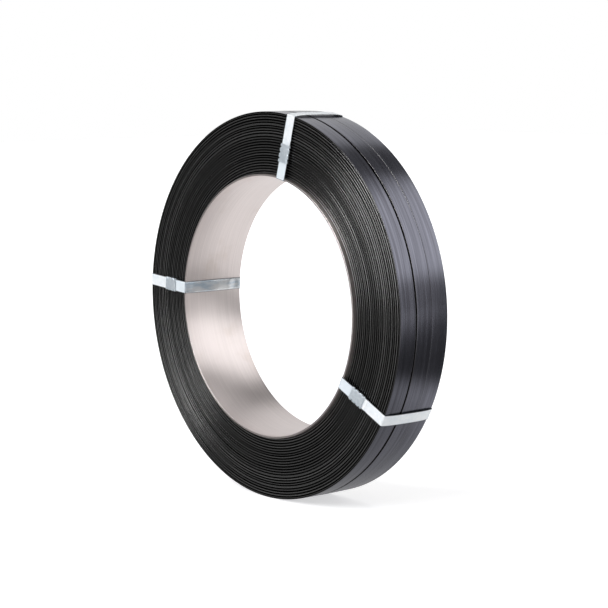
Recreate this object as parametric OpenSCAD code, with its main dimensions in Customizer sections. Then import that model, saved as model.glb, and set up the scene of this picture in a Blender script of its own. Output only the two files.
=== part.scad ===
// Coil of black steel strapping, standing on its rim, with a bright steel
// sleeve in its bore and three tie straps round the section, each closed by a
// crimped seal.
//
// Frame: millimetres, +Z up. The origin is the centre of the bore, midway
// through the winding's width. +Y runs along the bore from the front end, which
// carries the seals, to the back end. Angles round the coil start at +X, the
// right-hand side seen from the front, and turn towards +Z.

/* [Winding] */
// Outside diameter of the winding
coil_od = 604; // [560:1:740]
// Width of the strap that is wound
strap_w = 31.75; // [19:0.05:40]
// Rows of strap that lie side by side
strap_rows = 3; // [2:1:5]
// Build of each ridge that the turns show on the ends
ridge_pitch = 4; // [3:0.1:6]
// Depth of the groove between two ridges
ridge_groove_d = 1.1; // [0.5:0.05:1.8]
// Width of the groove between two ridges
ridge_groove_w = 0.9; // [0.4:0.05:1.6]
// Furthest that a ridge lies behind the plane of the end
ridge_setback = 0.7; // [0:0.05:1.2]
// Depth of the open groove after the first row, on the rim
row_groove_d = 2.2; // [1:0.1:4]
// Width of the open groove
row_groove_w = 2.6; // [1:0.1:4]
// Depth of the closed seam between the other rows
row_seam_d = 0.4; // [0.2:0.05:1]
// Width of the closed seam
row_seam_w = 0.5; // [0.3:0.05:1]
// Chamfer on the rim's two edges
rim_chamfer = 0.6; // [0.4:0.05:0.9]

/* [Sleeve] */
// Inside diameter of the sleeve, which is the bore of the coil
bore_d = 406; // [300:1:480]
// Wall of the sleeve
sleeve_t = 3; // [1.5:0.1:5]
// How far the sleeve stands out of the front end
sleeve_front = 6; // [4:0.5:15]
// How far the sleeve stands out of the back end
sleeve_back = 12; // [4:0.5:20]
// Chamfer on the sleeve's edges
sleeve_chamfer = 0.5; // [0.4:0.05:0.7]
// Clearance between the sleeve and the first turn
sleeve_fit = 0.2; // [0.1:0.05:0.4]

/* [Tie straps] */
// Width of a tie strap
tie_w = 19; // [10:0.5:25]
// Thickness of a tie strap
tie_t = 0.5; // [0.4:0.05:0.8]
// Clearance between a tie strap and what it holds
tie_gap = 0.2; // [0.15:0.05:0.4]
// Inside radius of a tie strap's bends
tie_bend_r = 1; // [0.8:0.1:1.2]
// How far the strap's lapped ends run past each end of the seal
tie_tail = 7; // [3:0.5:10]
// Place of the tie strap near the top
tie_top_angle = 79; // [60:1:100]
// Place of the tie strap on the left
tie_left_angle = 176.5; // [140:0.5:200]
// Place of the tie strap at the lower right
tie_right_angle = 331.5; // [300:0.5:350]

/* [Seals] */
// Length of a seal along its tie strap
seal_len = 28; // [20:1:34]
// Thickness of a seal's sheet
seal_t = 0.8; // [0.5:0.05:1]
// Clearance between a seal and the strap inside it
seal_gap = 0.15; // [0.1:0.05:0.3]
// Width of the flanges folded under the strap
seal_flange = 5; // [3:0.25:7]
// Radius of the crimps bitten into a seal's sides
crimp_r = 1.6; // [1:0.1:2]
// Distance between two crimps on a side
crimp_pitch = 9; // [6:0.5:10]
// Distance from the sleeve to the middle of a seal
seal_from_sleeve = 37; // [30:1:50]

/* [Hidden] */
$fn = 180;
// Points on each bend of a tie strap
BEND_STEPS = 4;
// Overlap that joins the lapped strap end to the strap under it
BITE = 0.1;
// Length by which cutters run past what they cut
CUT = 10;
// Steps in degrees that scatter the ridges' setbacks and the grooves' depths
SCATTER_FRONT = 137.5;
SCATTER_BACK = 101;
SCATTER_DEPTH = 83;
// Share by which a groove between ridges may be deeper or shallower
GROOVE_SPREAD = 0.35;

rim_r = coil_od / 2;
bore_r = bore_d / 2;
sleeve_r = bore_r + sleeve_t;
first_turn_r = sleeve_r + sleeve_fit;
half_w = strap_w * strap_rows / 2;
ridges = round((rim_r - first_turn_r) / ridge_pitch);
ridge_w = (rim_r - first_turn_r) / ridges;
seal_r = sleeve_r + seal_from_sleeve;
tie_lap_len = seal_len + 2 * tie_tail;

// The face of a tie strap that lies against the bore, where the flat strap's
// two edges come closest to the round sleeve
tie_bore_x = sqrt(bore_r * bore_r - tie_w * tie_w / 4) - tie_gap;
tie_rim_x = rim_r + tie_gap;
// Centres of a tie strap's four bends, as [radius, place along the bore]
bend_in = tie_bend_r - tie_gap;
TIE_BENDS = [
    [tie_bore_x + tie_bend_r, -half_w - sleeve_front + bend_in - rim_lift(sleeve_front)],
    [tie_rim_x - tie_bend_r, -half_w + bend_in],
    [tie_rim_x - tie_bend_r, half_w - bend_in],
    [tie_bore_x + tie_bend_r, half_w + sleeve_back - bend_in + rim_lift(sleeve_back)]
];
front_leg = TIE_BENDS[1] - TIE_BENDS[0];
front_leg_angle = atan2(front_leg[1], front_leg[0]);
front_leg_normal = outward(TIE_BENDS[0], TIE_BENDS[1]);
// The point on the front leg's outer face at the middle of the seal
seal_foot = TIE_BENDS[0]
    + front_leg * (seal_r - TIE_BENDS[0][0]) / front_leg[0]
    + (tie_bend_r + tie_t) * [cos(front_leg_normal), sin(front_leg_normal)];

// Height that a bend over the sleeve's rim gains so that the sloping leg also
// clears the rim's outer edge, for a sleeve that stands out of the end by this
function rim_lift(stand) = stand * sleeve_t / (rim_r - bore_r);

// Direction of the normal that points out of an outline with its points in
// anticlockwise order, for the side from a to b
function outward(a, b) = atan2(a[0] - b[0], b[1] - a[1]);

function after(a0, a1) = a1 < a0 ? a1 + 360 : a1;

// Outline at distance r round the given centres
function rounded(centres, r) =
    let (n = len(centres))
    [
        for (i = [0 : n - 1])
        let (
            a0 = outward(centres[(i + n - 1) % n], centres[i]),
            a1 = after(a0, outward(centres[i], centres[(i + 1) % n]))
        )
        for (k = [0 : BEND_STEPS])
        let (a = a0 + (a1 - a0) * k / BEND_STEPS)
        centres[i] + r * [cos(a), sin(a)]
    ];

// How far ridge i lies behind the end, with the outermost one level with it
function setback(i, step) = i == ridges - 1 ? 0 : ridge_setback * (0.5 + 0.5 * sin(step * i));

function groove_depth(i) = ridge_groove_d * (1 + GROOVE_SPREAD * cos(SCATTER_DEPTH * i));

// One end's ridges from the first turn outwards, as [radius, depth below the
// end], with a groove before every ridge but the first
function end_ridges(step) = [
    for (i = [0 : ridges - 1])
    let (
        r0 = first_turn_r + i * ridge_w,
        r1 = r0 + ridge_w,
        e = setback(i, step),
        deep = max(e, setback(max(i - 1, 0), step)) + groove_depth(i)
    )
    each concat(
        i == 0 ? [[r0, e]] : [[r0, deep], [r0 + ridge_groove_w / 2, e]],
        i == ridges - 1 ? [[r1 - rim_chamfer, e], [r1, e + rim_chamfer]] : [[r1 - ridge_groove_w / 2, e]]
    )
];

// The rim from front to back, with a groove after the first row and a seam
// after each of the others
function rim_rows() = [
    for (k = [1 : strap_rows - 1])
    let (
        y = -half_w + k * strap_w,
        w = k == 1 ? row_groove_w : row_seam_w,
        d = k == 1 ? row_groove_d : row_seam_d
    )
    each [[rim_r, y - w / 2], [rim_r - d, y - w / 4], [rim_r - d, y + w / 4], [rim_r, y + w / 2]]
];

function reversed(list) = [for (i = [len(list) - 1 : -1 : 0]) list[i]];

module along_bore() rotate([-90, 0, 0]) children();

module round_coil_at(angle) rotate([0, -angle, 0]) children();

module strap_coil()
    color([0.09, 0.09, 0.1])
    along_bore()
    rotate_extrude()
    polygon(concat(
        [for (p = end_ridges(SCATTER_FRONT)) [p[0], -half_w + p[1]]],
        rim_rows(),
        [for (p = reversed(end_ridges(SCATTER_BACK))) [p[0], half_w - p[1]]]
    ));

module bore_sleeve() {
    c = sleeve_chamfer;
    front = -half_w - sleeve_front;
    back = half_w + sleeve_back;
    color([0.8, 0.76, 0.74])
    along_bore()
    rotate_extrude()
    polygon([
        [bore_r + c, front], [sleeve_r - c, front], [sleeve_r, front + c],
        [sleeve_r, back - c], [sleeve_r - c, back], [bore_r + c, back],
        [bore_r, back - c], [bore_r, front + c]
    ]);
}

// Puts a seal or a lapped strap end on the front leg of a tie strap: x runs
// outwards along the leg, y into it, and z across it
module on_front_leg()
    translate([seal_foot[0], seal_foot[1], 0])
    rotate([0, 0, front_leg_angle])
    children();

// A flat strap bent at four corners round the winding and the sleeve, with its
// two ends lapped under the seal
module tie_strap()
    color([0.83, 0.86, 0.9]) {
        linear_extrude(tie_w, center = true)
        difference() {
            polygon(rounded(TIE_BENDS, tie_bend_r + tie_t));
            polygon(rounded(TIE_BENDS, tie_bend_r));
        }
        on_front_leg()
        translate([-tie_lap_len / 2, -tie_t, -tie_w / 2])
        cube([tie_lap_len, tie_t + BITE, tie_w]);
    }

// A sheet clip folded round both layers of strap, with crimps in its sides
module seal() {
    in_w = tie_w + 2 * seal_gap;
    in_h = 2 * (tie_t + seal_gap);
    out_w = in_w + 2 * seal_t;
    out_h = in_h + 2 * seal_t;
    slot_w = in_w - 2 * seal_flange;
    color([0.62, 0.67, 0.73])
    on_front_leg()
    difference() {
        cube([seal_len, out_h, out_w], center = true);
        cube([seal_len + CUT, in_h, in_w], center = true);
        translate([0, out_h / 2, 0])
        cube([seal_len + CUT, out_h, slot_w], center = true);
        for (side = [-1, 1], k = [-1 : 1])
            translate([k * crimp_pitch, 0, side * out_w / 2])
            rotate([90, 0, 0])
            cylinder(h = out_h + CUT, r = crimp_r, center = true);
    }
}

module tie_strap_top() round_coil_at(tie_top_angle) tie_strap();

module tie_strap_left() round_coil_at(tie_left_angle) tie_strap();

module tie_strap_right() round_coil_at(tie_right_angle) tie_strap();

module seal_top() round_coil_at(tie_top_angle) seal();

module seal_left() round_coil_at(tie_left_angle) seal();

module seal_right() round_coil_at(tie_right_angle) seal();

strap_coil();
bore_sleeve();
tie_strap_top();
tie_strap_left();
tie_strap_right();
seal_top();
seal_left();
seal_right();
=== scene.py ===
"""Coil of black steel strapping that stands on its rim.

Three rows of strap are wound side by side on a bright steel sleeve. Three zinc
tie straps go round the section, each closed by a crimped seal. Lengths are in
metres, +Z is up, and +Y runs along the bore from the front end to the back.
"""

import logging
import math
import random
from dataclasses import dataclass
from enum import Enum

import bpy
import numpy as np
from mathutils import Matrix, Vector


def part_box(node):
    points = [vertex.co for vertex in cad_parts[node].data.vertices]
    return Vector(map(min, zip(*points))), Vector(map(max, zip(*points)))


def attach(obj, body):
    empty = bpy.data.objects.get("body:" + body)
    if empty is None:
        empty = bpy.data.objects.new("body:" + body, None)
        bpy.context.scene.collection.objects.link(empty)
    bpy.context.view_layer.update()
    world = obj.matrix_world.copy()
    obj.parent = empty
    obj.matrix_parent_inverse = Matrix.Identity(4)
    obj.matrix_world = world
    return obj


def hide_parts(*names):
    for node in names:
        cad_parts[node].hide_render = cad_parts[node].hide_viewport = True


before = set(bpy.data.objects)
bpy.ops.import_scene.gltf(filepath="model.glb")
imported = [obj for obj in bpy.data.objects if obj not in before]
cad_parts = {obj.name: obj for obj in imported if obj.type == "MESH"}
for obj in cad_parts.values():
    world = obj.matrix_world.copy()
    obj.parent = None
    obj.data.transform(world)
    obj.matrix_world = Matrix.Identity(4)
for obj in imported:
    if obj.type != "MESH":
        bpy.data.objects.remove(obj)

LOG = logging.getLogger("coil")
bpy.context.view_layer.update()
BODY = "root"
MM = 0.001
NO_RIDGE = -1
BACK_RIDGES = 1000
Colour = tuple[float, float, float, float]
Piece, Material = bpy.types.Object, bpy.types.Material
Node, Tree = bpy.types.Node, bpy.types.NodeTree


class Slot(Enum):
    """Names of the material slots."""

    STRAPPING = "strapping"
    SLEEVE = "sleeve"
    TIE_STRAP = "tie_strap"
    SEAL = "seal"


@dataclass(frozen=True)
class CoilSizes:
    """The coil's main sizes, as the frame has them.

    Args:
        rim_r: Radius of the winding's rim.
        half_w: Half of the winding's width.
        sleeve_r: Outside radius of the sleeve.
        sleeve_front: Place of the sleeve's front edge along the bore.
        sleeve_back: Place of the sleeve's back edge along the bore.
        sleeve_wall: Wall of the sleeve.
        first_turn_gap: Clearance between the sleeve and the first turn.
    """

    rim_r: float
    half_w: float
    sleeve_r: float
    sleeve_front: float
    sleeve_back: float
    sleeve_wall: float = 3.0 * MM
    first_turn_gap: float = 0.2 * MM

    @classmethod
    def from_frame(cls) -> "CoilSizes":
        """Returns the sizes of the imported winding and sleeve."""
        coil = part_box("strap_coil")
        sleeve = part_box("bore_sleeve")
        return cls(
            rim_r=coil[1].x,
            half_w=coil[1].y,
            sleeve_r=sleeve[1].x,
            sleeve_front=sleeve[0].y,
            sleeve_back=sleeve[1].y,
        )

    @property
    def bore_r(self) -> float:
        """Radius of the bore."""
        return self.sleeve_r - self.sleeve_wall

    @property
    def first_turn_r(self) -> float:
        """Inside radius of the first turn."""
        return self.sleeve_r + self.first_turn_gap


# ---------------------------------------------------------------- tools


def deselect_all() -> None:
    """Goes to object mode with nothing selected and nothing active."""
    if bpy.context.object and bpy.context.object.mode != "OBJECT":
        bpy.ops.object.mode_set(mode="OBJECT")
    bpy.ops.object.select_all(action="DESELECT")
    bpy.context.view_layer.objects.active = None


def mode(name: str) -> None:
    """Goes to a mode of the active piece."""
    bpy.ops.object.mode_set(mode=name)


def only(piece: Piece) -> None:
    """Selects one piece and makes it active."""
    deselect_all()
    piece.select_set(True)
    bpy.context.view_layer.objects.active = piece


def apply_all(piece: Piece) -> None:
    """Applies every modifier of a piece in order."""
    only(piece)
    for modifier in list(piece.modifiers):
        bpy.ops.object.modifier_apply(modifier=modifier.name)


def close_shell(piece: Piece, distance: float = 0.00001) -> None:
    """Merges doubles and turns all faces of a piece outwards."""
    only(piece)
    mode("EDIT")
    bpy.ops.mesh.select_all(action="SELECT")
    bpy.ops.mesh.remove_doubles(threshold=distance)
    bpy.ops.mesh.normals_make_consistent(inside=False)
    mode("OBJECT")


def smooth(piece: Piece, degrees: float) -> None:
    """Shades a piece smooth, with edges sharper than an angle left crisp."""
    only(piece)
    bpy.ops.object.shade_smooth_by_angle(angle=math.radians(degrees))


def points_of(piece: Piece) -> np.ndarray:
    """Returns the piece's vertices as an array of rows."""
    flat = np.empty(len(piece.data.vertices) * 3)
    piece.data.vertices.foreach_get("co", flat)
    return flat.reshape(-1, 3)


def set_points(piece: Piece, points: np.ndarray) -> None:
    """Moves the piece's vertices to the rows of an array."""
    piece.data.vertices.foreach_set("co", np.ascontiguousarray(points).ravel())
    piece.data.update()


def smoothstep(x: np.ndarray) -> np.ndarray:
    """Returns an ease from 0 to 1 as x goes from 0 to 1."""
    x = np.clip(x, 0.0, 1.0)
    return x * x * (3 - 2 * x)


def hand_in(
    piece: Piece, material: Material, node: str = ""
) -> None:
    """Dresses a finished piece and joins it to the frame.

    Args:
        piece: The finished piece, with its place in its mesh.
        material: The finish.
        node: The CAD node that the piece stands for, if it stands for one.
    """
    piece.data.materials.clear()
    piece.data.materials.append(material)
    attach(piece, BODY)
    if node:
        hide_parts(node)
    LOG.info("%s: %d faces", piece.name, len(piece.data.polygons))


class SheetRun:
    """A strip of sheet that is laid out from one edge, run by run and bend by bend.

    The edge lies along Z, and the strip's path lies in the XY plane. Bends turn
    clockwise, seen from +Z.
    """

    def __init__(
        self, name: str, width: float, cuts: int, start: Vector, heading: float
    ) -> None:
        """Lays the first edge.

        Args:
            name: Name of the piece.
            width: Length of the edge.
            cuts: Number of cuts that divide the edge.
            start: Middle of the edge.
            heading: Direction of the first run, in radians from +X.
        """
        deselect_all()
        bpy.ops.mesh.primitive_plane_add(size=width, rotation=(math.pi / 2, 0, 0))
        self.piece = bpy.context.object
        self.piece.name = self.piece.data.name = name
        bpy.ops.object.transform_apply(location=True, rotation=True, scale=True)
        mode("EDIT")
        bpy.ops.mesh.select_mode(type="VERT")
        bpy.ops.mesh.select_all(action="DESELECT")
        mode("OBJECT")
        for vertex in self.piece.data.vertices:
            vertex.select = vertex.co.x > 0
        mode("EDIT")
        bpy.ops.mesh.delete(type="VERT")
        bpy.ops.mesh.select_all(action="SELECT")
        bpy.ops.mesh.subdivide(number_cuts=cuts)
        bpy.ops.mesh.select_mode(type="EDGE")
        bpy.ops.mesh.select_all(action="SELECT")
        offset = Vector((start.x + width / 2, start.y, 0.0))
        bpy.ops.transform.translate(value=offset)
        self.place = Vector((start.x, start.y))
        self.heading = heading

    def run(self, length: float, steps: int, lift: float = 0.0) -> "SheetRun":
        """Runs the strip straight on.

        Args:
            length: Length of the run.
            steps: Number of faces along it.
            lift: How far it moves out of the loop on the way.

        Returns:
            The strip itself.
        """
        along = Vector((math.cos(self.heading), math.sin(self.heading)))
        out = Vector((-along.y, along.x))
        step = (along * length + out * lift) / steps
        for _ in range(steps):
            bpy.ops.mesh.extrude_region_move(
                TRANSFORM_OT_translate={"value": (step.x, step.y, 0.0)}
            )
        self.place += step * steps
        return self

    def bend(self, angle: float, radius: float, steps: int) -> "SheetRun":
        """Bends the strip clockwise.

        Args:
            angle: Angle of the bend in radians.
            radius: Radius of the strip's middle.
            steps: Number of faces round it.

        Returns:
            The strip itself.
        """
        right = Vector((math.sin(self.heading), -math.cos(self.heading)))
        centre = self.place + right * radius
        bpy.ops.mesh.spin(
            steps=steps,
            angle=angle,
            center=(centre.x, centre.y, 0.0),
            axis=(0.0, 0.0, 1.0),
        )
        self.heading -= angle
        left = Vector((-math.sin(self.heading), math.cos(self.heading)))
        self.place = centre + left * radius
        return self

    def done(self) -> Piece:
        """Returns the finished sheet, still without its thickness."""
        mode("OBJECT")
        close_shell(self.piece)
        return self.piece


def mark_strip(piece: Piece, half_width: float, crosswise: int) -> None:
    """Notes on each vertex how far out and how near an edge of the strip it is.

    Args:
        piece: The strip in the plane that it was bent in.
        half_width: Half of its width.
        crosswise: Index of the axis that runs across it.
    """
    points = points_of(piece)
    notes = {"radial": points[:, 0], "across": np.abs(points[:, crosswise]) / half_width}
    for name, values in notes.items():
        note = piece.data.attributes.new(name, "FLOAT", "POINT")
        note.data.foreach_set("value", values.astype(np.float32))


def thicken(
    piece: Piece,
    thickness: float,
    round_off: float,
    segments: int = 2,
    outwards: bool = False,
) -> None:
    """Gives a sheet its thickness and breaks its edges.

    Args:
        piece: The sheet, at the middle of its thickness or at its inside.
        thickness: Thickness of the sheet.
        round_off: Width of the bevel on its edges.
        segments: Number of faces across the bevel.
        outwards: Whether the thickness all goes outwards.
    """
    wall = piece.modifiers.new("Wall", "SOLIDIFY")
    wall.thickness = thickness
    wall.offset = 1.0 if outwards else 0.0
    wall.use_even_offset = outwards
    edges = piece.modifiers.new("Edges", "BEVEL")
    edges.width = round_off
    edges.segments = segments
    edges.limit_method = "ANGLE"
    edges.angle_limit = math.radians(50)
    apply_all(piece)
    close_shell(piece)


# ---------------------------------------------------------------- finishes


class Nodes:
    """Lays out the nodes of one tree and joins them."""

    def __init__(self, tree: Tree) -> None:
        """Starts on an empty tree."""
        self.tree = tree
        tree.nodes.clear()

    def add(self, kind: str, **settings) -> Node:
        """Returns a new node of a kind with its settings made."""
        node = self.tree.nodes.new(kind)
        for name, value in settings.items():
            setattr(node, name, value)
        return node

    def feed(self, socket: bpy.types.NodeSocket, value) -> None:
        """Joins a socket to another, or sets it to a plain value."""
        if isinstance(value, bpy.types.NodeSocket):
            self.tree.links.new(value, socket)
        else:
            socket.default_value = value

    def give(self, node: Node, **values) -> None:
        """Feeds a node's inputs by name, with underscores for spaces."""
        for name, value in values.items():
            self.feed(node.inputs[name.replace("_", " ")], value)

    def math(self, operation: str, *values, clamp: bool = False):
        """Returns the result of a Math node."""
        node = self.add("ShaderNodeMath", operation=operation, use_clamp=clamp)
        for socket, value in zip(node.inputs, values):
            self.feed(socket, value)
        return node.outputs[0]

    def plus(self, first, second):
        """Returns the sum of two values."""
        return self.math("ADD", first, second)

    def minus(self, first, second):
        """Returns a value less another."""
        return self.math("SUBTRACT", first, second)

    def times(self, first, second):
        """Returns the product of two values."""
        return self.math("MULTIPLY", first, second)

    def times_plus(self, first, second, third, clamp: bool = False):
        """Returns the product of two values plus a third."""
        return self.math("MULTIPLY_ADD", first, second, third, clamp=clamp)

    def span(self, value, low: float, high: float, to_low=0.0, to_high=1.0):
        """Returns a value eased from one range to another."""
        node = self.add("ShaderNodeMapRange", interpolation_type="SMOOTHSTEP")
        for socket, given in zip(node.inputs, (value, low, high, to_low, to_high)):
            self.feed(socket, given)
        return node.outputs[0]

    def blend(self, factor, first, second):
        """Returns a mix of two colours."""
        node = self.add("ShaderNodeMix", data_type="RGBA")
        self.feed(node.inputs["Factor"], factor)
        self.feed(node.inputs[6], first)
        self.feed(node.inputs[7], second)
        return node.outputs[2]

    def scaled(self, colour, factor):
        """Returns a colour times a value."""
        node = self.add("ShaderNodeVectorMath", operation="SCALE")
        self.feed(node.inputs[0], colour)
        self.feed(node.inputs["Scale"], factor)
        return node.outputs[0]

    def vector(self, x, y, z):
        """Returns a vector of three values."""
        node = self.add("ShaderNodeCombineXYZ")
        for socket, value in zip(node.inputs, (x, y, z)):
            self.feed(socket, value)
        return node.outputs[0]

    def parts(self, vector):
        """Returns the X, Y and Z of a vector."""
        node = self.add("ShaderNodeSeparateXYZ")
        self.feed(node.inputs[0], vector)
        return node.outputs

    def place(self):
        """Returns the Object coordinates."""
        return self.add("ShaderNodeTexCoord").outputs["Object"]

    def attribute(self, name: str):
        """Returns the value of a mesh attribute."""
        return self.add("ShaderNodeAttribute", attribute_name=name).outputs["Fac"]

    def placed(self, tree: Tree, **values):
        """Returns the outputs of a shared effect placed with its own values."""
        group = self.add("ShaderNodeGroup", node_tree=tree)
        self.give(group, **values)
        return group.outputs

    def noise(self, vector, scale, detail=2.0, rough=0.5, w=None):
        """Returns the value of a Noise node, in four dimensions if w is given."""
        kind = "3D" if w is None else "4D"
        node = self.add("ShaderNodeTexNoise", noise_dimensions=kind)
        if w is not None:
            self.give(node, W=w)
        self.give(node, Vector=vector, Scale=scale, Detail=detail, Roughness=rough)
        return node.outputs["Fac"]

    def bump(self, height, distance: float, strength: float = 1.0, normal=None):
        """Returns the normal of a Bump node."""
        node = self.add("ShaderNodeBump")
        self.give(node, Strength=strength, Distance=distance, Height=height)
        if normal is not None:
            self.give(node, Normal=normal)
        return node.outputs[0]

    def finish(self, **values) -> None:
        """Ends a material in a Principled shader with the values of its inputs."""
        shader = self.add("ShaderNodeBsdfPrincipled")
        self.give(shader, **values)
        self.give(self.add("ShaderNodeOutputMaterial"), Surface=shader.outputs[0])

    def seen_apart(self, seen, otherwise, output: str) -> None:
        """Ends a tree in one shader for what the camera sees and one for the rest.

        Args:
            seen: The shader that the camera sees.
            otherwise: The shader for every other ray.
            output: Kind of the output node.
        """
        rays = self.add("ShaderNodeLightPath")
        choice = self.add("ShaderNodeMixShader")
        for socket, value in zip(
            choice.inputs, (rays.outputs["Is Camera Ray"], otherwise, seen)
        ):
            self.feed(socket, value)
        self.give(self.add(output), Surface=choice.outputs[0])


class SharedEffects:
    """The effects that more than one finish uses, each a node group built once."""

    def __init__(self) -> None:
        """Builds every shared effect."""
        self.rings = self._rings()
        self.drawn_lines = self._drawn_lines()
        self.handling = self._handling()

    @staticmethod
    def _group(
        name: str, given: dict[str, float | None], made: list[str]
    ) -> tuple[Tree, Nodes, Node, Node]:
        """Starts a node group.

        Args:
            name: Name of the group.
            given: Inputs with their plain values, or None for a vector.
            made: Names of the outputs, which are values.

        Returns:
            The tree, its layout, its input node and its output node.
        """
        tree = bpy.data.node_groups.new(name, "ShaderNodeTree")
        for title, value in given.items():
            kind = "NodeSocketVector" if value is None else "NodeSocketFloat"
            socket = tree.interface.new_socket(title, in_out="INPUT", socket_type=kind)
            if value is not None:
                socket.default_value = value
        for title in made:
            tree.interface.new_socket(title, in_out="OUTPUT", socket_type="NodeSocketFloat")
        nodes = Nodes(tree)
        return tree, nodes, nodes.add("NodeGroupInput"), nodes.add("NodeGroupOutput")

    def _rings(self) -> Tree:
        """Returns the group that turns a place into radius, along, cosine and sine."""
        tree, nodes, given, made = self._group(
            "Ring place", {"Vector": None}, ["Radius", "Along", "Cosine", "Sine"]
        )
        x, y, z = nodes.parts(given.outputs["Vector"])
        square = nodes.plus(nodes.times(x, x), nodes.times(z, z))
        radius = nodes.math("SQRT", square)
        cosine = nodes.math("DIVIDE", x, radius)
        sine = nodes.math("DIVIDE", z, radius)
        nodes.give(made, Radius=radius, Along=y, Cosine=cosine, Sine=sine)
        return tree

    def _drawn_lines(self) -> Tree:
        """Returns the group of lines that run round the coil, from fine to broad."""
        tree, nodes, given, made = self._group(
            "Drawn lines",
            {"Vector": None, "Fineness": 1500.0, "Turn": 3.0, "Seed": 0.0},
            ["Lines", "Bands"],
        )
        ring = nodes.placed(self.rings, Vector=given.outputs["Vector"])
        turn = given.outputs["Turn"]
        cosine = nodes.times(ring["Cosine"], turn)
        sine = nodes.times_plus(ring["Sine"], turn, given.outputs["Seed"])
        fine = given.outputs["Fineness"]
        for name, share, detail in (("Lines", 1.0, 3.0), ("Bands", 0.16, 2.0)):
            scale = nodes.times(fine, share)
            vector = nodes.vector(
                nodes.times(ring["Radius"], scale),
                nodes.times(ring["Along"], scale),
                cosine,
            )
            value = nodes.noise(vector, 1.0, detail, 0.6, w=sine)
            nodes.feed(made.inputs[name], value)
        return tree

    def _handling(self) -> Tree:
        """Returns the group of cloudy smudges, fine grain and rare spots."""
        tree, nodes, given, made = self._group(
            "Handling",
            {"Vector": None, "Cloud scale": 12.0, "Grain scale": 900.0, "Spots": 0.3},
            ["Cloud", "Grain", "Spots"],
        )
        vector = given.outputs["Vector"]
        cloud = nodes.noise(vector, given.outputs["Cloud scale"], 4.0, 0.6)
        grain = nodes.noise(vector, given.outputs["Grain scale"], 3.0, 0.7)
        fine = nodes.times(given.outputs["Cloud scale"], 11.0)
        fleck = nodes.noise(vector, fine, 5.0, 0.65)
        floor = nodes.minus(0.74, nodes.times(given.outputs["Spots"], 0.2))
        spots = nodes.span(fleck, floor, nodes.plus(floor, 0.05))
        nodes.give(made, Cloud=cloud, Grain=grain, Spots=spots)
        return tree


def new_material(name: str) -> tuple[Material, Nodes]:
    """Returns an empty material and the layout of its nodes."""
    material = bpy.data.materials.new(name)
    material.use_nodes = True
    return material, Nodes(material.node_tree)


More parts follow.
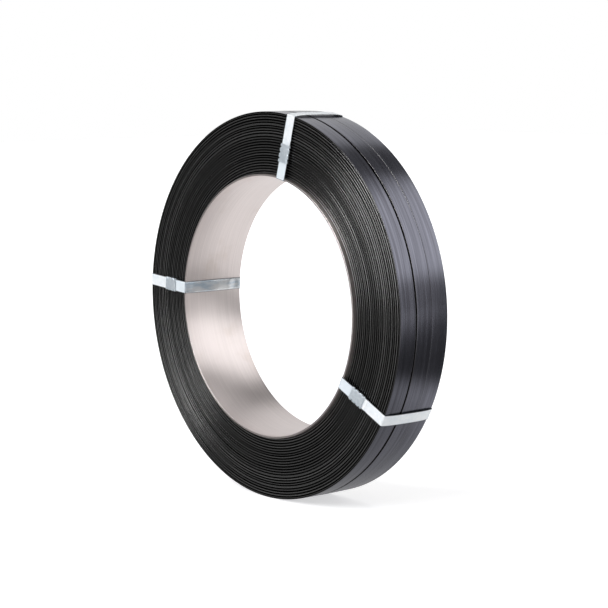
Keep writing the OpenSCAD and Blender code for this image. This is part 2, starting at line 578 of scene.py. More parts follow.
@dataclass(frozen=True)
class BlackStrapFinish:
    """Black painted and waxed strap, with lines from the mill, edges rubbed bare that are
    partly a painted highlight, painted shade in its grooves and a front row darkened as
    painted shade.
    """

    shared: SharedEffects
    sizes: CoilSizes
    lap: float
    row_edges: tuple[float, ...]
    paint: Colour = (0.235, 0.238, 0.285, 1.0)
    deep_paint: Colour = (0.120, 0.120, 0.145, 1.0)
    edge_paint: Colour = (0.27, 0.27, 0.268, 1.0)
    groove_shade_paint: Colour = (0.003, 0.003, 0.003, 1.0)
    bare: Colour = (0.34, 0.33, 0.33, 1.0)

    def make(self) -> Material:
        """Returns the material."""
        material, nodes = new_material("Black_waxed_strap")
        place = nodes.place()
        ring = nodes.placed(self.shared.rings, Vector=place)
        lines = nodes.placed(
            self.shared.drawn_lines, Vector=place, Fineness=1400.0, Turn=2.2, Seed=3.0
        )
        long_lines = nodes.placed(
            self.shared.drawn_lines, Vector=place, Fineness=420.0, Turn=0.8, Seed=9.0
        )
        marks = nodes.placed(
            self.shared.handling,
            Vector=place, Cloud_scale=9.0, Grain_scale=1600.0, Spots=0.15,
        )
        facing = nodes.parts(nodes.add("ShaderNodeNewGeometry").outputs["Normal"])
        on_end = nodes.span(nodes.math("ABSOLUTE", facing["Y"]), 0.25, 0.6)

        # each turn has its own tone on the ends
        build_up = nodes.minus(ring["Radius"], self.sizes.first_turn_r)
        turn = nodes.math("FLOOR", nodes.math("DIVIDE", build_up, self.lap))
        tone = nodes.add("ShaderNodeTexWhiteNoise", noise_dimensions="1D")
        nodes.feed(tone.inputs["W"], turn)
        turn_tone = nodes.times(tone.outputs["Value"], on_end)

        # thin lines rubbed bare along the edges of the outermost strap, partly wear and
        # partly a painted highlight on the edges
        edge = None
        for at in self.row_edges:
            near = nodes.math("ABSOLUTE", nodes.minus(ring["Along"], at))
            mask = nodes.span(near, 0.2 * MM, 0.7 * MM, 1.0, 0.0)
            edge = mask if edge is None else nodes.math("MAXIMUM", edge, mask)
        rim_r = self.sizes.rim_r
        on_rim = nodes.span(ring["Radius"], rim_r - 1.2 * MM, rim_r - 0.4 * MM)
        broken = nodes.span(long_lines["Bands"], 0.42, 0.6)
        worn_and_glint = nodes.times(nodes.times(edge, on_rim), broken)

        bands = nodes.times(nodes.span(lines["Bands"], 0.30, 0.68), 0.55)
        drawn = nodes.span(long_lines["Lines"], 0.3, 0.7)
        tone_mix = nodes.times_plus(drawn, 0.45, bands, clamp=True)
        base = nodes.blend(tone_mix, self.deep_paint, self.paint)
        # the front row's paint is 8 % darker than the other rows: painted shade
        gap_low, gap_high = self.row_edges[1:3]
        front_row_shade = nodes.span(ring["Along"], gap_low, gap_high, 0.92, 1.0)
        base = nodes.scaled(base, front_row_shade)
        end_tone = nodes.times_plus(turn_tone, 0.5, 0.5)
        base = nodes.blend(on_end, base, nodes.scaled(self.edge_paint[:3], end_tone))
        # groove walls turn near-black with their depth: painted shade in the grooves
        hollow = nodes.span(nodes.attribute("hollow"), 0.06 * MM, 0.30 * MM)
        base = nodes.blend(hollow, base, self.groove_shade_paint)
        base = nodes.blend(nodes.times(worn_and_glint, 0.4), base, self.bare)
        base = nodes.blend(nodes.times(marks["Spots"], 0.25), base, self.bare)

        rough = nodes.times_plus(lines["Lines"], 0.12, 0.12)
        rough = nodes.times_plus(marks["Cloud"], 0.08, rough)
        rough = nodes.times_plus(turn_tone, 0.06, rough)

        relief = nodes.times_plus(long_lines["Lines"], 1.6, lines["Lines"])
        relief = nodes.times_plus(marks["Grain"], 0.25, relief)
        normal = nodes.bump(relief, 0.03 * MM, 0.8)
        nodes.finish(Base_Color=base, Roughness=rough, Metallic=0.95, Normal=normal)
        return material


@dataclass(frozen=True)
class SleeveFinish:
    """Brushed bright steel with a warm cast, brushed round the bore."""

    shared: SharedEffects
    steel: Colour = (0.83, 0.755, 0.74, 1.0)
    shade: Colour = (0.70, 0.635, 0.62, 1.0)
    stain: Colour = (0.60, 0.50, 0.43, 1.0)

    def make(self) -> Material:
        """Returns the material."""
        material, nodes = new_material("Brushed_sleeve_steel")
        place = nodes.place()
        fine = nodes.placed(
            self.shared.drawn_lines, Vector=place, Fineness=2600.0, Turn=2.6, Seed=1.0
        )
        broad = nodes.placed(
            self.shared.drawn_lines, Vector=place, Fineness=500.0, Turn=1.1, Seed=6.0
        )
        marks = nodes.placed(
            self.shared.handling,
            Vector=place, Cloud_scale=14.0, Grain_scale=1800.0, Spots=0.2,
        )
        tone = nodes.span(broad["Lines"], 0.25, 0.75, 0.0, 0.6)
        tone = nodes.times_plus(fine["Lines"], 0.6, tone, clamp=True)
        base = nodes.blend(tone, self.shade, self.steel)
        stained = nodes.span(marks["Cloud"], 0.56, 0.75, 0.0, 0.3)
        base = nodes.blend(stained, base, self.stain)
        base = nodes.blend(nodes.times(marks["Spots"], 0.35), base, self.stain)
        rough = nodes.times_plus(fine["Lines"], 0.16, 0.20)
        rough = nodes.times_plus(marks["Cloud"], 0.14, rough)
        relief = nodes.times_plus(broad["Lines"], 1.5, fine["Lines"])
        normal = nodes.bump(relief, 0.02 * MM, 0.7)
        nodes.finish(Base_Color=base, Roughness=rough, Metallic=1.0, Normal=normal)
        return material


@dataclass(frozen=True)
class ZincFinish:
    """Zinc coated sheet, with faint spangle, waves from the mill, scuffs, a painted
    reflection in the bore and painted shadow along its edges.
    """

    shared: SharedEffects
    name: str
    bright: Colour
    dull: Colour
    reflection_paint: Colour
    metallic: float
    rough: float
    mirror_within: float = 0.0
    inner_within: float = 0.0
    edge_shadow: Colour = (0.06, 0.07, 0.08, 1.0)
    spangle: float = 260.0
    wave: float = 0.5 * MM
    reflection_mottle: tuple[float, float, float] = (90.0, 22.0, 90.0)

    def make(self) -> Material:
        """Returns the material."""
        material, nodes = new_material(self.name)
        place = nodes.place()
        marks = nodes.placed(
            self.shared.handling,
            Vector=place, Cloud_scale=42.0, Grain_scale=2400.0, Spots=0.45,
        )
        cells = nodes.add("ShaderNodeTexVoronoi", feature="F1")
        nodes.give(cells, Vector=place, Scale=self.spangle)
        cell_tone = nodes.parts(cells.outputs["Color"])
        waves = nodes.noise(place, 65.0, 2.0, 0.5)
        tone = nodes.times(cell_tone[0], 0.35)
        tone = nodes.times_plus(marks["Cloud"], 0.9, tone, clamp=True)
        base = nodes.blend(tone, self.dull, self.bright)
        base = nodes.blend(nodes.times(marks["Spots"], 0.3), base, self.dull)

        # in the bore it mirrors more and carries a painted reflection mottled into its
        # colour; near the sleeve it is darker and bluer, beyond it is bright
        radial = nodes.attribute("radial")
        in_bore, near = self.mirror_within, self.inner_within
        mirrored = nodes.span(radial, in_bore - 1 * MM, in_bore, 1.0, 0.0)
        inner = nodes.span(radial, near - 3 * MM, near, 0.75, 0.0)
        base = nodes.blend(inner, base, self.dull)
        drawn = nodes.add("ShaderNodeVectorMath", operation="MULTIPLY")
        nodes.feed(drawn.inputs[0], place)
        drawn.inputs[1].default_value = self.reflection_mottle
        reflection_mottle = nodes.span(nodes.noise(drawn.outputs[0], 1.0, 3.0, 0.5), 0.36, 0.64)
        painted_reflection = nodes.blend(reflection_mottle, self.reflection_paint, self.bright)
        base = nodes.blend(mirrored, base, painted_reflection)
        # dark lines along both edges of the strap: painted shadow of the gap under its
        # edges
        edge_shadow_mask = nodes.span(nodes.attribute("across"), 0.89, 0.95, 0.0, 0.85)
        base = nodes.blend(edge_shadow_mask, base, self.edge_shadow)
        metal = nodes.span(mirrored, 0.0, 1.0, self.metallic, 0.66)
        rough = nodes.times_plus(marks["Cloud"], 0.08, self.rough - 0.04)
        rough = nodes.times_plus(cell_tone[1], 0.03, rough)
        rough = nodes.times_plus(mirrored, -0.14, rough)
        normal = nodes.bump(waves, self.wave, 0.4)
        normal = nodes.bump(marks["Grain"], 0.01 * MM, 0.1, normal)
        nodes.finish(Base_Color=base, Roughness=rough, Metallic=metal, Normal=normal)
        return material


# ---------------------------------------------------------------- winding


@dataclass
class EndProfile:
    """The strap edges that show on one end of the winding, from the bore outwards.

    Args:
        sizes: The coil's main sizes.
        seed: Seed of the scatter.
        turns: Number of turns.
        ridges: Number of ridges that the turns gather in.
    """

    sizes: CoilSizes
    seed: int
    turns: int = 115
    ridges: int = 23
    ridge_setback: float = 0.30 * MM
    ridge_groove: float = 1.7 * MM
    strong_groove: float = 2.3 * MM
    strong_share: float = 0.18
    inner_wall: float = 1.3 * MM
    outer_wall: float = 1.8 * MM
    turn_groove: float = 0.04 * MM
    turn_scatter: float = 0.025 * MM
    wander: float = 0.16 * MM
    wave_orders: tuple[int, ...] = (1, 2, 3, 5)
    rim_setback: float = 0.1 * MM
    rim_groove: float = 0.5 * MM
    last_but_one: float = 0.35 * MM

    def __post_init__(self) -> None:
        """Draws the ridges, their grooves and the scatter of the turns."""
        draw = random.Random(self.seed)
        self.lap = (self.sizes.rim_r - self.sizes.first_turn_r) / self.turns
        counts = [self.turns // self.ridges] * self.ridges
        for _ in range(self.ridges // 6):
            wide, narrow = draw.sample(range(self.ridges), 2)
            if counts[wide] < 6 and counts[narrow] > 4:
                counts[wide] += 1
                counts[narrow] -= 1
        self.ridge_of = [i for i, count in enumerate(counts) for _ in range(count)]
        self.first_of = [sum(counts[:i]) for i in range(self.ridges + 1)]
        self.setback = [draw.uniform(0, self.ridge_setback) for _ in range(self.ridges)]
        self.setback[-1] = self.rim_setback
        self.groove = [
            self.strong_groove
            if draw.random() < self.strong_share
            else self.ridge_groove * draw.uniform(0.85, 1.1)
            for _ in range(self.ridges + 1)
        ]
        self.groove[-1] = self.rim_groove
        self.scatter = [draw.gauss(0, self.turn_scatter) for _ in range(self.turns)]
        self.scatter[-2:] = [self.last_but_one, 0.0]
        self.waves = [
            [
                (k, draw.uniform(0, 2 * math.pi), draw.gauss(0, self.wander) / k)
                for k in self.wave_orders
            ]
            for _ in range(self.ridges)
        ]

    def _depth(self, turn: int, share: float) -> float:
        """Returns the depth of a turn's edge below the end, at a share of the turn."""
        ridge = self.ridge_of[turn]
        inner = self.first_of[ridge] * self.lap
        outer = self.first_of[ridge + 1] * self.lap
        at = (turn + share) * self.lap
        from_inner = max(0.0, 1 - (at - inner) / self.inner_wall)
        from_outer = max(0.0, 1 - (outer - at) / self.outer_wall)
        walls = self.groove[ridge] * from_inner**1.5
        walls += self.groove[ridge + 1] * from_outer**1.5
        return self.setback[ridge] + walls + max(0.0, self.scatter[turn])

    def stations(self) -> list[tuple[float, float, int, float]]:
        """Returns radius, depth, ridge and depth below the ridge of each point."""
        found = []
        r0 = self.sizes.first_turn_r
        for turn in range(self.turns):
            ridge = self.ridge_of[turn]
            both = self._depth(turn, 0.0)
            if turn:
                both = max(both, self._depth(turn - 1, 1.0)) + self.turn_groove
            found.append((r0 + turn * self.lap, both, ridge, both - self.setback[ridge]))
            for share in (0.2, 0.8):
                depth = self._depth(turn, share)
                r = r0 + (turn + share) * self.lap
                found.append((r, depth, ridge, depth - self.setback[ridge]))
        return found

    def wander_at(self, ridge: np.ndarray, angle: np.ndarray) -> np.ndarray:
        """Returns how far the ridges lie further back at each angle round the coil."""
        table = np.array(self.waves)
        total = np.zeros(len(angle))
        for k in range(table.shape[1]):
            order, phase, size = (table[:, k, i][ridge] for i in range(3))
            total += size * (1 + np.cos(order * angle + phase)) / 2
        return np.abs(total)


@dataclass
class WoundRow:
    """One row of strap, wound turn over turn.

    Args:
        name: Name of the piece.
        sizes: The coil's main sizes.
        low: Place of its front edge along the bore.
        high: Place of its back edge along the bore.
        front: The edges that show on the front end, if it is the first row.
        back: The edges that show on the back end, if it is the last row.
        reach: How far it runs on towards the row before, below the gap's bottom.
    """

    name: str
    sizes: CoilSizes
    low: float
    high: float
    front: EndProfile | None = None
    back: EndProfile | None = None
    reach: float = 0.0
    gap_depth: float = 2.8 * MM
    steps: int = 240
    edge_r: float = 0.40 * MM
    gap_wander: float = 3.2 * MM
    front_drop: float = 0.25 * MM
    back_drop: float = 0.9 * MM

    def _rim(self) -> list[tuple[float, float]]:
        """Returns the outermost strap's rounded edges and face, front to back."""
        r, e = self.sizes.rim_r, self.edge_r
        arc = [math.radians(a) for a in (0, 22.5, 45, 67.5, 90)]
        front = [
            (r - e + e * math.sin(a), self.low + e - e * math.cos(a)) for a in arc
        ]
        back = [
            (r - e + e * math.cos(a), self.high - e + e * math.sin(a)) for a in arc
        ]
        width = self.high - self.low
        inner = [self.low + width * share for share in (0.06, 0.25, 0.5, 0.75, 0.94)]
        return front + [(r, y) for y in inner] + back

    def _outline(self) -> np.ndarray:
        """Returns the row's section, anticlockwise from the bore's front edge.

        Returns:
            Rows of radius, place along the bore, ridge and depth below the ridge.
            The back end's ridges are counted from BACK_RIDGES.
        """
        inner, outer = self.sizes.first_turn_r, self.sizes.rim_r - 2 * self.edge_r
        if self.front:
            rows = [
                (r, self.low + depth, ridge, hollow)
                for r, depth, ridge, hollow in self.front.stations()[:-1]
            ]
        else:
            step, floor = self.sizes.rim_r - self.gap_depth, self.low - self.reach
            # the step's depth of 1 mm turns the gap's bottom near-black in the finish, and
            # its wall darker towards it: painted shade in the gap
            rows = [
                (inner, floor, NO_RIDGE, 0.0),
                (step, floor, NO_RIDGE, 1 * MM),
                (step, self.low, NO_RIDGE, 1 * MM),
                (outer, self.low, NO_RIDGE, 0.0),
            ]
        rows += [(r, y, NO_RIDGE, 0.0) for r, y in self._rim()]
        if self.back:
            rows += [
                (r, self.high - depth, BACK_RIDGES + ridge, hollow)
                for r, depth, ridge, hollow in reversed(self.back.stations()[:-1])
            ]
        else:
            rows += [(r, self.high, NO_RIDGE, 0.0) for r in (outer, inner)]
        return np.array(rows)

    def build(self) -> Piece:
        """Returns the row as a closed ring."""
        outline = self._outline()
        deselect_all()
        bpy.ops.mesh.primitive_circle_add(vertices=len(outline), radius=0.01)
        piece = bpy.context.object
        piece.name = piece.data.name = self.name
        flat = np.zeros(len(outline))
        set_points(piece, np.column_stack([outline[:, 0], outline[:, 1], flat]))
        for name, column in (("ridge", 2), ("hollow", 3)):
            note = piece.data.attributes.new(name, "FLOAT", "POINT")
            note.data.foreach_set("value", outline[:, column].astype(np.float32))
        mode("EDIT")
        bpy.ops.mesh.select_all(action="SELECT")
        bpy.ops.mesh.spin(
            steps=self.steps, angle=2 * math.pi, center=(0, 0, 0), axis=(0, 1, 0)
        )
        mode("OBJECT")
        close_shell(piece)
        self._wander(piece)
        smooth(piece, 75)
        return piece

    def _wander(self, piece: Piece) -> None:
        """Lets each ridge wander in and out as it goes round the coil."""
        points = points_of(piece)
        note = piece.data.attributes["ridge"]
        ridge = np.empty(len(points), np.float32)
        note.data.foreach_get("value", ridge)
        ridge = np.rint(ridge).astype(int)
        angle = np.arctan2(points[:, 2], points[:, 0])
        for profile, chosen, sign in (
            (self.front, (ridge > NO_RIDGE) & (ridge < BACK_RIDGES), 1),
            (self.back, ridge >= BACK_RIDGES, -1),
        ):
            if profile:
                number = ridge[chosen] % BACK_RIDGES
                points[chosen, 1] += sign * profile.wander_at(number, angle[chosen])
        if self.front:
            open_side = points[:, 1] > self.high - 3 * self.edge_r
        else:
            open_side = points[:, 1] < self.low - 0.5 * MM
        points[open_side, 1] -= self.gap_wander * np.sin(angle[open_side]) ** 2
        for axis in (0, 2):
            points[:, axis] *= 1 - self._drop(points) / self.sizes.rim_r
        piece.data.attributes.remove(note)
        set_points(piece, points)

    def _drop(self, points: np.ndarray) -> np.ndarray:
        """Returns how far the rim falls away towards the coil's two ends."""
        half = self.sizes.half_w
        near_rim = np.hypot(points[:, 0], points[:, 2]) > self.sizes.rim_r - 2 * MM
        to_front = np.clip((-points[:, 1] - half / 3) / (half * 2 / 3), 0, 1)
        to_back = np.clip((points[:, 1] + half / 8) / (half * 9 / 8), 0, 1)
        return near_rim * (self.front_drop * to_front**2 + self.back_drop * to_back**2)


@dataclass
class Winding:
    """The whole winding: three rows of strap side by side."""

    sizes: CoilSizes
    row_w: float = 31.75 * MM
    open_gap: float = 2.7 * MM
    seam_gap: float = 0.25 * MM

    def __post_init__(self) -> None:
        """Places the rows along the bore."""
        half, row = self.sizes.half_w, self.row_w
        self.spans = [
            (-half, -half + row - self.open_gap / 2),
            (-half + row + self.open_gap / 2, half - row - self.seam_gap / 2),
            (half - row + self.seam_gap / 2, half),
        ]
        self.front = EndProfile(self.sizes, seed=11)
        self.back = EndProfile(self.sizes, seed=29)

    @property
    def row_edges(self) -> tuple[float, ...]:
        """Places of all the rows' edges along the bore."""
        return tuple(edge for span in self.spans for edge in span)

    def build(self) -> list[Piece]:
        """Returns the three rows, front to back."""
        rows = (
            ("winding_front_row", {"front": self.front}),
            ("winding_middle_row", {"reach": self.open_gap - 0.1 * MM}),
            ("winding_back_row", {"back": self.back, "reach": self.seam_gap - 0.05 * MM}),
        )
        return [
            WoundRow(name, self.sizes, *span, **ends).build()
            for (name, ends), span in zip(rows, self.spans)
        ]

    def dress(self, rows: list[Piece], material: Material) -> None:
        """Dresses the rows and joins them to the frame. The first stands for the CAD
        winding.
        """
        for i, row in enumerate(rows):
            hand_in(row, material, "strap_coil" if i == 0 else "")


# ---------------------------------------------------------------- sleeve


@dataclass
class Sleeve:
    """The steel sleeve that the strap is wound on, rolled from sheet."""

    sizes: CoilSizes
    around: int = 256
    edge: float = 0.55 * MM

    def build(self) -> Piece:
        """Returns the sleeve as an open tube with broken edges."""
        s = self.sizes
        length = s.sleeve_back - s.sleeve_front
        middle = (s.sleeve_back + s.sleeve_front) / 2
        deselect_all()
        bpy.ops.mesh.primitive_cylinder_add(
            vertices=self.around,
            radius=s.bore_r,
            depth=length,
            end_fill_type="NOTHING",
            location=(0, middle, 0),
            rotation=(math.pi / 2, 0, 0),
        )
        piece = bpy.context.object
        piece.name = piece.data.name = "sleeve"
        bpy.ops.object.transform_apply(location=True, rotation=True, scale=True)
        thicken(piece, s.sleeve_wall, self.edge, segments=3, outwards=True)
        smooth(piece, 45)
        return piece

    def dress(self, piece: Piece, material: Material) -> None:
        """Dresses the sleeve and joins it to the frame."""
        hand_in(piece, material, "bore_sleeve")


# ---------------------------------------------------------------- ties


@dataclass
class TieStrap:
    """A zinc strap drawn tight round the section, its ends lapped under a seal.

    Args:
        name: Name of the CAD node that it stands for.
        sizes: The coil's main sizes.
        angle: Place round the coil in degrees.
        bow: How far its leg on the rim bows out.
        seed: Seed of its small waves.
    """

    name: str
    sizes: CoilSizes
    angle: float
    bow: float
    seed: int
    width: float = 19.0 * MM
    thickness: float = 0.5 * MM
    gap: float = 0.2 * MM
    bend_r: float = 1.25 * MM
    inside_r: float = 1.0 * MM
    seal_len: float = 28.0 * MM
    tail: float = 7.0 * MM
    seal_from_sleeve: float = 37.0 * MM
    lap_gap: float = 0.06 * MM
    step_up: float = 6.0 * MM
    lift_off: float = 0.8 * MM
    wave: float = 0.25 * MM

    def __post_init__(self) -> None:
        """Works out the centres of the four bends and the slope of the legs."""
        s = self.sizes
        inside = math.sqrt(s.bore_r**2 - self.width**2 / 4) - self.gap
        height = s.rim_r - s.bore_r
        front = -s.half_w - s.sleeve_front
        back = s.sleeve_back - s.half_w
        lift = s.sleeve_wall / height
        near = inside + self.inside_r
        far = s.rim_r + self.gap - self.inside_r
        in_by = self.inside_r - self.gap
        self.centres = [
            Vector((near, -s.half_w - front + in_by - lift * front)),
            Vector((far, -s.half_w + in_by)),
            Vector((far, s.half_w - in_by)),
            Vector((near, s.half_w + back - in_by + lift * back)),
        ]
        self.front_leg = self.centres[1] - self.centres[0]
        self.back_leg = self.centres[2] - self.centres[3]
        self.front_slope = math.atan2(self.front_leg.y, self.front_leg.x)
        self.back_slope = math.atan2(self.back_leg.y, self.back_leg.x)
        self.seal_r = s.sleeve_r + self.seal_from_sleeve

    def on_front_leg(self, radius: float) -> Vector:
        """Returns the point on the front leg's middle layer at a radius."""
        out = Vector((math.sin(self.front_slope), -math.cos(self.front_slope)))
        share = (radius - self.centres[0].x) / self.front_leg.x
        return self.centres[0] + self.front_leg * share + out * self.bend_r

    def build(self) -> Piece:
        """Returns the strap, bent round the section from one lapped end to the other."""
        lap_half = self.seal_len / 2 + self.tail
        inner_end, outer_end = self.seal_r + lap_half, self.seal_r - lap_half
        cos = math.cos(self.front_slope)
        start, heading = self.on_front_leg(inner_end), math.pi + self.front_slope
        strip = SheetRun(self.name, self.width, 7, start, heading)
        strip.run((inner_end - self.centres[0].x) / cos, 16)
        strip.bend(math.pi / 2 + self.front_slope, self.bend_r, 6)
        strip.run(self.centres[3].y - self.centres[0].y, 22)
        strip.bend(math.pi / 2 - self.back_slope, self.bend_r, 6)
        strip.run(self.back_leg.length, 16)
        strip.bend(math.pi / 2 + self.back_slope, self.bend_r, 6)
        strip.run(self.centres[2].y - self.centres[1].y, 20)
        strip.bend(math.pi / 2 - self.front_slope, self.bend_r, 6)
        strip.run((self.centres[1].x - inner_end - self.step_up) / cos, 6)
        strip.run(self.step_up / cos, 3, lift=-(self.thickness + self.lap_gap))
        strip.run((inner_end - outer_end) / cos, 12)
        piece = strip.done()
        self._settle(piece)
        thicken(piece, self.thickness, 0.1 * MM)
        smooth(piece, 40)
        mark_strip(piece, self.width / 2, 2)
        piece.data.transform(Matrix.Rotation(-math.radians(self.angle), 4, "Y"))
        return piece

    def _settle(self, piece: Piece) -> None:
        """Bows the leg on the rim and gives the strap its small waves."""
        draw = random.Random(self.seed)
        points = points_of(piece)
        s = self.sizes
        on_rim = points[:, 0] > s.rim_r - 0.2 * MM
        along = np.clip(points[:, 1] / s.half_w, -1, 1)
        points[on_rim, 0] += self.bow * (1 - along[on_rim] ** 4)
        in_bore = (points[:, 0] < s.bore_r) & (np.abs(points[:, 1]) < s.half_w)
        wave = np.zeros(len(points))
        for order in (1.0, 2.3, 4.1):
            phase = draw.uniform(0, 6.28)
            wave += np.cos(points[:, 1] / s.half_w * order * 2 + phase) / order
        dish = 1 - (points[:, 2] / (self.width / 2)) ** 2
        fade = smoothstep((s.half_w - np.abs(points[:, 1])) / (10 * MM))
        lift = fade * (self.lift_off + np.abs(wave) * self.wave * (0.4 + dish))
        points[in_bore, 0] -= lift[in_bore]
        set_points(piece, points)


@dataclass
class CrimpedSeal:
    """A sheet clip folded round both layers of a tie strap and crimped at its sides.

    Args:
        name: Name of the CAD node that it stands for.
        tie: The strap that it closes.
        seed: Seed of the crimps' scatter.
    """

    name: str
    tie: TieStrap
    seed: int
    sheet: float = 0.7 * MM
    gap: float = 0.2 * MM
    fold_r: float = 0.6 * MM
    flange: float = 5.0 * MM
    crimps: tuple[float, ...] = (-8.5 * MM, 0.5 * MM, 9.0 * MM)
    bites: tuple[float, ...] = (2.0 * MM, 1.1 * MM, 1.5 * MM)
    crimp_half: float = 1.25 * MM
    ear_at: float = 2.7 * MM
    ear_half: float = 1.1 * MM
    flare_len: float = 2.0 * MM
    flare: float = 0.08 * MM
    ripple: float = 0.05 * MM
    ripple_len: float = 3.1 * MM

    def build(self) -> Piece:
        """Returns the seal in its place on the strap."""
        tie = self.tie
        across = tie.width + 2 * self.gap + self.sheet
        high = 2 * tie.thickness + tie.lap_gap + 2 * self.gap + self.sheet
        r = self.fold_r
        start = Vector((-(across / 2 - self.flange), -high / 2))
        quarter = math.pi / 2
        blank = SheetRun(self.name, tie.seal_len, 55, start, math.pi)
        blank.run(self.flange - r, 5).bend(quarter, r, 4)
        blank.run(high - 2 * r, 1).bend(quarter, r, 4)
        blank.run(across - 2 * r, 28).bend(quarter, r, 4)
        blank.run(high - 2 * r, 1).bend(quarter, r, 4)
        blank.run(self.flange - r, 5)
        piece = blank.done()
        self._crimp(piece, across)
        thicken(piece, self.sheet, 0.12 * MM)
        smooth(piece, 45)
        self._place(piece)
        return piece

    def _crimp(self, piece: Piece, across: float) -> None:
        """Bites the crimps into both sides, and flares the ends a little."""
        draw = random.Random(self.seed)
        points = points_of(piece)
        x, y, z = points[:, 0], points[:, 1], points[:, 2]
        half = self.tie.seal_len / 2
        side = np.abs(x) / (across / 2)
        for at, bite in zip(self.crimps, self.bites):
            for sign in (-1, 1):
                place = at + draw.uniform(-0.4, 0.4) * MM
                near = np.exp(-(((z - place) / self.crimp_half) ** 2))
                near = near * (np.sign(x) == sign)
                reach = smoothstep((side - 0.72) / 0.28)
                x = x - sign * near * reach * bite
                y = y - near * smoothstep((side - 0.55) / 0.45) * 0.55 * bite * (y > 0)
                beside = np.abs(z - place) - self.ear_at
                ear = np.exp(-((beside / self.ear_half) ** 2))
                x = x + sign * ear * reach * bite * 0.35 * (np.sign(x) == sign)
        flare = smoothstep((np.abs(z) - half + self.flare_len) / self.flare_len)
        y = y + flare * self.flare * (y > 0)
        ripple = self.ripple * np.cos(z / self.ripple_len + draw.uniform(0, 6))
        y = y + ripple * (side < 0.8) * (y > 0)
        set_points(piece, np.column_stack([x, y, z]))

    def _place(self, piece: Piece) -> None:
        """Puts the seal round the two layers on the front leg."""
        tie = self.tie
        slope = tie.front_slope
        out = Vector((math.sin(slope), -math.cos(slope), 0.0))
        along = Vector((math.cos(slope), math.sin(slope), 0.0))
        foot = tie.on_front_leg(tie.seal_r)
        middle = Vector((foot.x, foot.y, 0.0)) + out * (tie.thickness + tie.lap_gap) / 2
        place = Matrix((
            (0.0, out.x, along.x, middle.x),
            (0.0, out.y, along.y, middle.y),
            (1.0, out.z, along.z, middle.z),
            (0.0, 0.0, 0.0, 1.0),
        ))
        turn = Matrix.Rotation(-math.radians(tie.angle), 4, "Y")
        piece.data.transform(turn @ place)


@dataclass
class Ties:
    """The three tie straps and their seals."""

    sizes: CoilSizes
    places: tuple[tuple[str, float, float], ...] = (
        ("top", 79.0, 2.2 * MM),
        ("left", 176.5, 0.0),
        ("right", 331.5, 2.0 * MM),
    )

    def build(self) -> list[tuple[Piece, Piece]]:
        """Returns each tie strap with its seal."""
        pairs = []
        for i, (where, angle, bow) in enumerate(self.places):
            tie = TieStrap(f"tie_strap_{where}", self.sizes, angle, bow, seed=40 + i)
            seal = CrimpedSeal(f"seal_{where}", tie, seed=60 + i)
            pairs.append((self._named(tie), self._named(seal)))
        return pairs

    @staticmethod
    def _named(maker: TieStrap | CrimpedSeal) -> Piece:
        """Returns the built piece, named apart from its CAD node."""
        piece = maker.build()
        piece.name = piece.data.name = f"{maker.name}_sheet"
        return piece

    def dress(
        self,
        pairs: list[tuple[Piece, Piece]],
        zinc: Material,
        seal_zinc: Material,
    ) -> None:
        """Dresses the straps and seals and joins them to the frame."""
        for (where, _, _), (tie, seal) in zip(self.places, pairs):
            hand_in(tie, zinc, f"tie_strap_{where}")
            hand_in(seal, seal_zinc, f"seal_{where}")


# ---------------------------------------------------------------- studio


@dataclass(frozen=True)
class SoftBox:
    """A patch of light far away in the studio.

    Args:
        azimuth: Its direction from +X towards +Y, in degrees.
        spread: Half of its width in degrees, with its soft edge beyond that.
        low: Elevation of its lower edge in degrees.
        high: Elevation of its upper edge in degrees.
        soft: Width of its soft edges in degrees.
        radiance: Its strength.
    """

    azimuth: float
    spread: float
    low: float
    high: float
    soft: float
    radiance: float


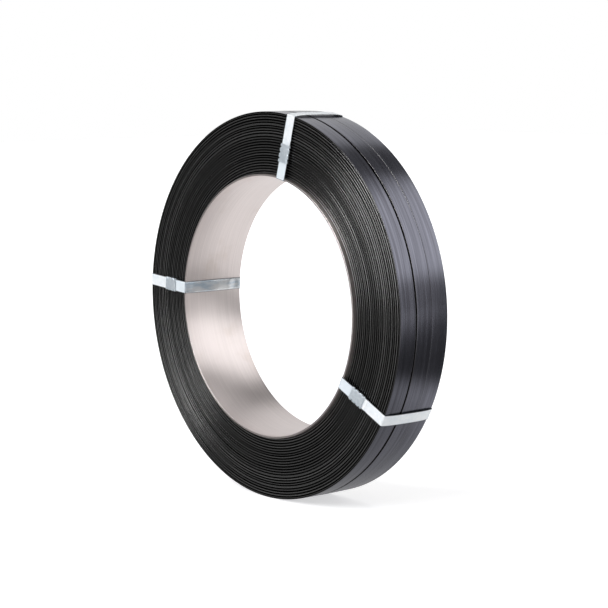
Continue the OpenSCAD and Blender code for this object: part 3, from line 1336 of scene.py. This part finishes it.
@dataclass
class Studio:
    """The pale floor, the soft light and the camera."""

    floor_z: float
    lens: float = 118.90066
    floor_size: float = 24.0
    floor_colour: Colour = (0.85, 0.85, 0.86, 1.0)
    floor_glow: float = 0.56
    azimuth: float = 49.84
    elevation: float = 6.90
    distance: float = 3.1516
    shift_x: float = 0.02174
    boxes: tuple[SoftBox, ...] = (
        SoftBox(52.0, 29.0, 16.0, 43.0, 7.0, 1.35),
        SoftBox(142.0, 25.0, 5.0, 46.0, 9.0, 0.70),
        SoftBox(33.0, 6.0, 3.0, 15.0, 5.0, 0.80),
        SoftBox(-90.0, 14.0, 25.0, 42.0, 6.0, 10.0),
        SoftBox(-90.0, 14.0, 4.0, 24.0, 6.0, 4.0),
    )
    ambient: float = 0.09
    floor_mirrored: float = 0.90
    floor_bounce: float = 1.1
    card_start: tuple[float, float] = (0.56, 0.28)
    card_azimuth: float = 47.0
    card_lead: tuple[float, float] = (-0.22, 0.08)
    card_half: tuple[float, float] = (0.18, 0.28)
    card_widening: float = 0.06
    card_mirrored: float = 0.02
    shade_mirrored: float = 0.42
    zenith: float = 0.9

    def build(self) -> None:
        """Builds the whole studio."""
        self._camera()
        self._world()
        self._floor()

    def _camera(self) -> None:
        """Makes the camera, level and aimed at the middle of the bore."""
        a, e = math.radians(self.azimuth), math.radians(self.elevation)
        back = Vector(
            (math.sin(a) * math.cos(e), -math.cos(a) * math.cos(e), math.sin(e))
        )
        data = bpy.data.cameras.new("camera")
        data.sensor_width = 36.0
        data.lens = self.lens
        data.shift_x = self.shift_x
        data.clip_end = 100.0
        camera = bpy.data.objects.new("camera", data)
        bpy.context.scene.collection.objects.link(camera)
        camera.location = back * self.distance
        camera.rotation_euler = (-back).to_track_quat("-Z", "Y").to_euler()
        bpy.context.scene.camera = camera

    def _world(self) -> None:
        """Lights the scene by patches of light round it, white behind the object."""
        world = bpy.data.worlds.new("studio")
        world.use_nodes = True
        bpy.context.scene.world = world
        nodes = Nodes(world.node_tree)
        toward = nodes.add("ShaderNodeTexCoord").outputs["Generated"]
        x, y, up = nodes.parts(toward)
        total = nodes.span(up, 0.75, 0.97, self.ambient, self.zenith)
        flat = nodes.add("ShaderNodeVectorMath", operation="NORMALIZE")
        nodes.feed(flat.inputs[0], nodes.vector(x, y, 0.0))
        for box in self.boxes:
            a = math.radians(box.azimuth)
            lobe = nodes.add("ShaderNodeVectorMath", operation="DOT_PRODUCT")
            nodes.feed(lobe.inputs[0], flat.outputs[0])
            nodes.feed(lobe.inputs[1], (math.cos(a), math.sin(a), 0.0))
            edge = math.cos(math.radians(box.spread))
            past = math.cos(math.radians(box.spread + box.soft))
            side = nodes.span(lobe.outputs["Value"], past, edge)
            steps = (box.low - box.soft, box.low, box.high, box.high + box.soft)
            heights = [math.sin(math.radians(step)) for step in steps]
            low = nodes.span(up, *heights[:2])
            high = nodes.span(up, *heights[2:], 1.0, 0.0)
            window = nodes.times(side, nodes.times(low, high))
            total = nodes.times_plus(window, box.radiance, total)
        light, white = (nodes.add("ShaderNodeBackground") for _ in range(2))
        nodes.give(light, Color=(1.0, 1.0, 1.0, 1.0), Strength=total)
        nodes.give(white, Color=(1.0, 1.0, 1.0, 1.0))
        nodes.seen_apart(white.outputs[0], light.outputs[0], "ShaderNodeOutputWorld")

    def _floor(self) -> None:
        """Lays the pale floor under the rim."""
        deselect_all()
        under_rim = (0, 0, self.floor_z)
        bpy.ops.mesh.primitive_plane_add(size=self.floor_size, location=under_rim)
        floor = bpy.context.object
        floor.name = floor.data.name = "floor"
        material, nodes = new_material("Pale_floor")
        seen = nodes.add("ShaderNodeBsdfDiffuse")
        nodes.give(seen, Color=self.floor_colour)
        glow = nodes.add("ShaderNodeEmission")
        nodes.give(glow, Strength=self.floor_glow)
        both = nodes.add("ShaderNodeAddShader")
        nodes.feed(both.inputs[0], seen.outputs[0])
        nodes.feed(both.inputs[1], glow.outputs[0])

        # what the coil mirrors of the floor: bright far behind the coil; darker near it, a
        # painted shadow, and darker in front of it; a dark card at one side
        x, y, _ = nodes.parts(nodes.place())
        card = self._card(nodes, x, y)
        level = nodes.span(card, 0.0, 1.0, self.floor_mirrored, self.card_mirrored)
        under = nodes.span(y, -0.15, 0.03, self.shade_mirrored, 1.0)
        # the mirrored floor darkens close behind the coil: painted shadow
        behind = nodes.span(y, 0.12, 0.32, self.shade_mirrored, 1.0)
        level = nodes.times(level, nodes.times(under, behind))
        glossy = nodes.add("ShaderNodeLightPath").outputs["Is Glossy Ray"]
        less = nodes.minus(level, self.floor_bounce)
        level = nodes.times_plus(less, glossy, self.floor_bounce)
        mirrored = nodes.add("ShaderNodeEmission")
        nodes.give(mirrored, Strength=level)
        nodes.seen_apart(both.outputs[0], mirrored.outputs[0], "ShaderNodeOutputMaterial")
        floor.data.materials.append(material)

    def _card(self, nodes: Nodes, x, y):
        """Returns where the dark card lies on the floor, a wedge that widens outwards."""
        x = nodes.minus(x, self.card_start[0])
        y = nodes.minus(y, self.card_start[1])
        turn = math.radians(self.card_azimuth)
        cosine, sine = math.cos(turn), math.sin(turn)
        along = nodes.plus(nodes.times(x, cosine), nodes.times(y, sine))
        across = nodes.minus(nodes.times(y, cosine), nodes.times(x, sine))
        aside = nodes.math("ABSOLUTE", nodes.times_plus(along, -self.card_widening, across))
        aside = nodes.times_plus(along, -self.card_widening, aside)
        within = nodes.span(aside, *self.card_half, 1.0, 0.0)
        return nodes.times(nodes.span(along, *self.card_lead), within)


def main() -> None:
    """Builds the coil piece by piece, then the studio round it."""
    logging.basicConfig(level=logging.INFO, format="%(name)s %(message)s")
    bpy.context.scene.view_settings.view_transform = "Standard"
    sizes = CoilSizes.from_frame()
    Studio(floor_z=-sizes.rim_r).build()

    shared = SharedEffects()
    winding = Winding(sizes)
    black = BlackStrapFinish(shared, sizes, winding.front.lap, winding.row_edges).make()
    winding.dress(winding.build(), black)

    sleeve = Sleeve(sizes)
    sleeve.dress(sleeve.build(), SleeveFinish(shared).make())

    zinc = ZincFinish(
        shared,
        "Zinc_tie_strap",
        bright=(0.90, 0.915, 0.93, 1.0),
        dull=(0.69, 0.76, 0.82, 1.0),
        reflection_paint=(0.52, 0.63, 0.74, 1.0),
        metallic=0.25,
        rough=0.34,
        mirror_within=sizes.bore_r + 1 * MM,
        inner_within=sizes.sleeve_r + 24 * MM,
    ).make()
    seal_zinc = ZincFinish(
        shared,
        "Zinc_seal",
        bright=(0.74, 0.80, 0.85, 1.0),
        dull=(0.46, 0.53, 0.60, 1.0),
        reflection_paint=(0.76, 0.83, 0.90, 1.0),
        metallic=0.6,
        rough=0.34,
    ).make()
    ties = Ties(sizes)
    ties.dress(ties.build(), zinc, seal_zinc)
    deselect_all()


if __name__ == "__main__":
    main()
